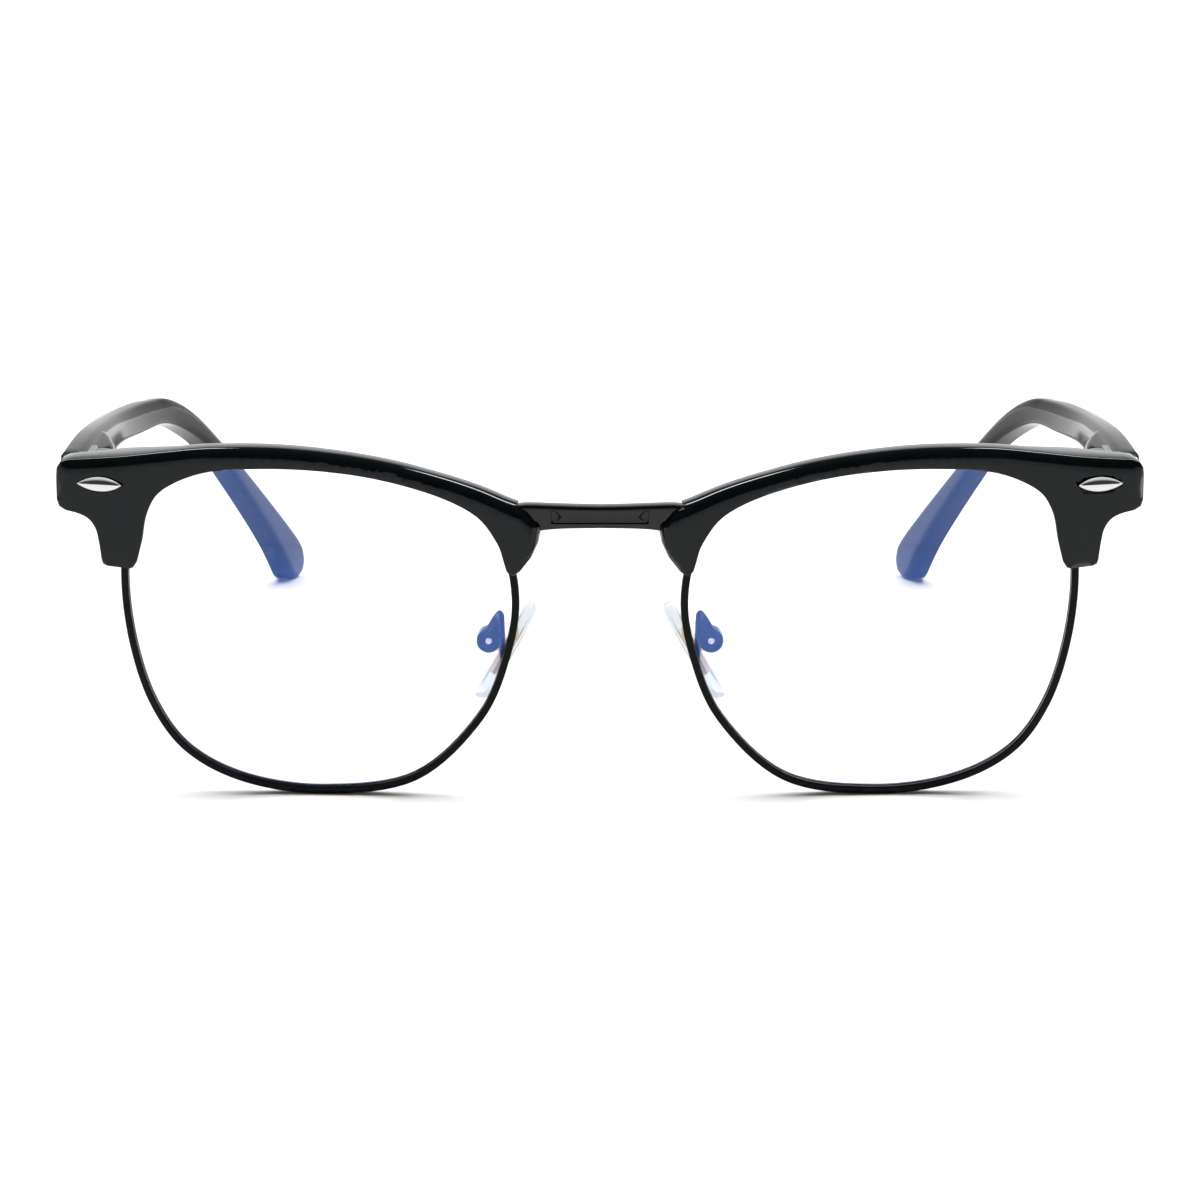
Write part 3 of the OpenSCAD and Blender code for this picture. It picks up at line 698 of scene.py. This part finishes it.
def rivet_piece():
    """The almond trim: two slopes that meet in a ridge, in its recess on the curved front."""
    length, height = 6.05, 1.85
    thick, proud = 0.8, 0.45
    crest = 0.33          # how far the ridge stands out, for a facet 1 mm wide
    ends = 0.02           # least width of a facet, at the tips
    row = height / 12     # so that a row of points runs along the ridge
    arc_r = (length ** 2 + height ** 2) / (4 * height)
    half = math.asin(length / 2 / arc_r)
    sweep_a = np.linspace(-half, half, 25)
    upper = [(math.sin(a) * arc_r, math.cos(a) * arc_r - arc_r + height / 2) for a in sweep_a]
    lower = [(-x, -z) for x, z in upper]
    outline = np.array(upper[:-1] + lower[:-1])
    if area(outline) < 0:
        outline = outline[::-1]
    turn = math.asin((RIVET_AT[0] - WRAP_X) / FRONT_R)
    front_y = fall(RIVET_AT[0])

    def place(x, z, d):
        if d < thick / 2:
            # each facet is hollow: flat at the rim and steep at the ridge
            reach = max(math.sqrt(arc_r ** 2 - x ** 2) - arc_r + height / 2, ends)
            d = crest * reach * (1 - (1 - min(abs(z) / reach, 1)) ** 2)
        y = d - proud
        return at(RIVET_AT[0] + x * math.cos(turn) - y * math.sin(turn),
                  front_y + x * math.sin(turn) + y * math.cos(turn), RIVET_AT[1] + z)

    return slab("rivet", outline, place, lambda x, z: thick, (0.1, 0), (0.05, 0.05),
                step=row * 2 / math.sqrt(3))


both_sides(rivet_piece(), "rivet", POLISHED, FRONT, "rivet")


def pad_piece():
    """The silicone pad: a rounded outline, domed on both faces."""
    turn = np.linspace(0, 2 * math.pi, 72, endpoint=False)
    power = 2 / 2.6    # of a superellipse a little squarer than an ellipse
    outline = np.column_stack([
        PAD_W / 2 * np.sign(np.cos(turn)) * np.abs(np.cos(turn)) ** power,
        PAD_L / 2 * np.sign(np.sin(turn)) * np.abs(np.sin(turn)) ** power])
    sin, cos = math.sin(PAD_LEAN), math.cos(PAD_LEAN)

    def place(y, z, d):
        x = d - PAD_T / 2
        return at(PAD_AT[0] + x * cos - z * sin, PAD_AT[1] + y, PAD_AT[2] + x * sin + z * cos)

    return slab("pad", outline, place, lambda y, z: PAD_T, (0.9, 0.6), (0.9, 0.6), step=0.9)


for pad in both_sides(pad_piece(), "nose_pad", SILICONE, PADS, "nose_pad"):
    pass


def arm_piece():
    """The pad arm: a bent strip with a web, from the eyewire to a turned socket that holds the pad's lug."""
    strip = tube("arm", smooth(ARM_LINE, steps=8), 0.42, 0.6)
    y0 = -SOCKET_L / 2
    cup = lathe("cup", SOCKET_AT, [
        (0.45, y0 + 0.1), (0.75, y0), (SOCKET_R - 0.25, y0), (SOCKET_R, y0 + 0.25),
        (SOCKET_R, -y0 - 0.25), (SOCKET_R - 0.25, -y0), (0.45, -y0)])
    fin_y, fin_t = 6.5, 0.6
    web = slab("fin", even(ARM_FIN, 0.3), lambda x, z, d: at(x, fin_y + d, z), lambda x, z: fin_t,
               (0.1, 0.1), (0.1, 0.1), step=0.5)
    return joined("pad_arm", strip, cup, web)


both_sides(arm_piece(), "pad_arm", WIRE, FRONT, "pad_arm")

# the small metal pieces keep their CAD shape, with softened edges and their own finishes
KEPT = {
    "rim_screw": STEEL, "brow_screws": STEEL, "pad_screw": STEEL, "leaf_screws": STEEL,
    "hinge_screw": STEEL, "temple_leaf": STEEL, "front_leaf": BLACK_METAL, "pad_insert": GOLD,
    "temple_core": CORE,
}


def finish_kept(obj, mat):
    """Give a CAD node its material and softly broken edges."""
    for slot in obj.material_slots:
        slot.material = mat
    edge = obj.modifiers.new("soft_edges", "BEVEL")
    edge.width = 0.06 * MM
    edge.segments = 2
    edge.limit_method = "ANGLE"
    edge.angle_limit = math.radians(50)


for base, mat in KEPT.items():
    for side in ("_left", "_right"):
        finish_kept(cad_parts[base + side], mat)


# ---- studio ----

def floor():
    """A plain pale floor."""
    mesh = bpy.data.meshes.new("studio_floor")
    side, near, far = 2.6, -0.9, 2.8
    mesh.from_pydata([(-side, near, 0), (side, near, 0), (side, far, 0), (-side, far, 0)], [], [(0, 1, 2, 3)])
    obj = bpy.data.objects.new("studio_floor", mesh)
    bpy.context.scene.collection.objects.link(obj)
    dress(obj, surface("pale_floor", (0.86, 0.86, 0.86), (0.88, 0.88, 0.88), (0.8, 0.9), specular=0.1,
                       grain=3, bump=0.0))


def softbox(name, centre, aim, width, height, power, seen=False):
    """A rectangular light, which shows in reflections only if seen is true."""
    data = bpy.data.lights.new(name, "AREA")
    data.shape = "RECTANGLE"
    data.size, data.size_y = width, height
    data.energy = power
    obj = bpy.data.objects.new(name, data)
    obj.location = centre
    obj.rotation_euler = (Vector(aim) - Vector(centre)).to_track_quat("-Z", "Y").to_euler()
    obj.visible_glossy = seen
    bpy.context.scene.collection.objects.link(obj)


def sky(tree):
    """White low down, fading to a dim ceiling between 5 and 25 degrees above the horizon."""
    where = tree.nodes.new("ShaderNodeTexCoord")
    split = tree.nodes.new("ShaderNodeSeparateXYZ")
    fade = tree.nodes.new("ShaderNodeMapRange")
    fade.interpolation_type = "SMOOTHSTEP"
    fade.inputs["From Min"].default_value = 0.08
    fade.inputs["From Max"].default_value = 0.42
    fade.inputs["To Min"].default_value = 1.0
    fade.inputs["To Max"].default_value = 0.05
    tree.nodes["Background"].inputs["Color"].default_value = (1, 1, 1, 1)
    tree.links.new(where.outputs["Generated"], split.inputs[0])
    tree.links.new(split.outputs["Z"], fade.inputs["Value"])
    tree.links.new(fade.outputs["Result"], tree.nodes["Background"].inputs["Strength"])


floor()
softbox("overhead_softbox", centre=(0, 1.5, 1.5), aim=(0, 1.0, 0), width=4.0, height=3.4, power=160)
for side in (-1, 1):
    softbox("strip_light", centre=(side * 0.95, 1.7, 1.35), aim=(0, 0, 0), width=1.3, height=0.2, power=7,
            seen=True)

world = bpy.data.worlds.new("studio")
world.use_nodes = True
sky(world.node_tree)
bpy.context.scene.world = world
bpy.context.scene.view_settings.view_transform = "Standard"


# ---- camera ----

CAMERA_BACK, CAMERA_UP = 481.05, 135.3    # in front of the brows' apex and above the floor
CAMERA_DOWN = 12.754                      # degrees below level


def add_camera():
    """A long lens in front of the glasses, looking a little down on them."""
    cam = bpy.data.cameras.new("camera")
    cam.lens = 116.0
    cam.sensor_width = 36
    cam.clip_start = 0.01
    camera = bpy.data.objects.new("camera", cam)
    camera.location = at(0, -CAMERA_BACK, CAMERA_UP)
    camera.rotation_euler = (math.radians(90 - CAMERA_DOWN), 0, 0)
    bpy.context.scene.collection.objects.link(camera)
    bpy.context.scene.camera = camera


add_camera()
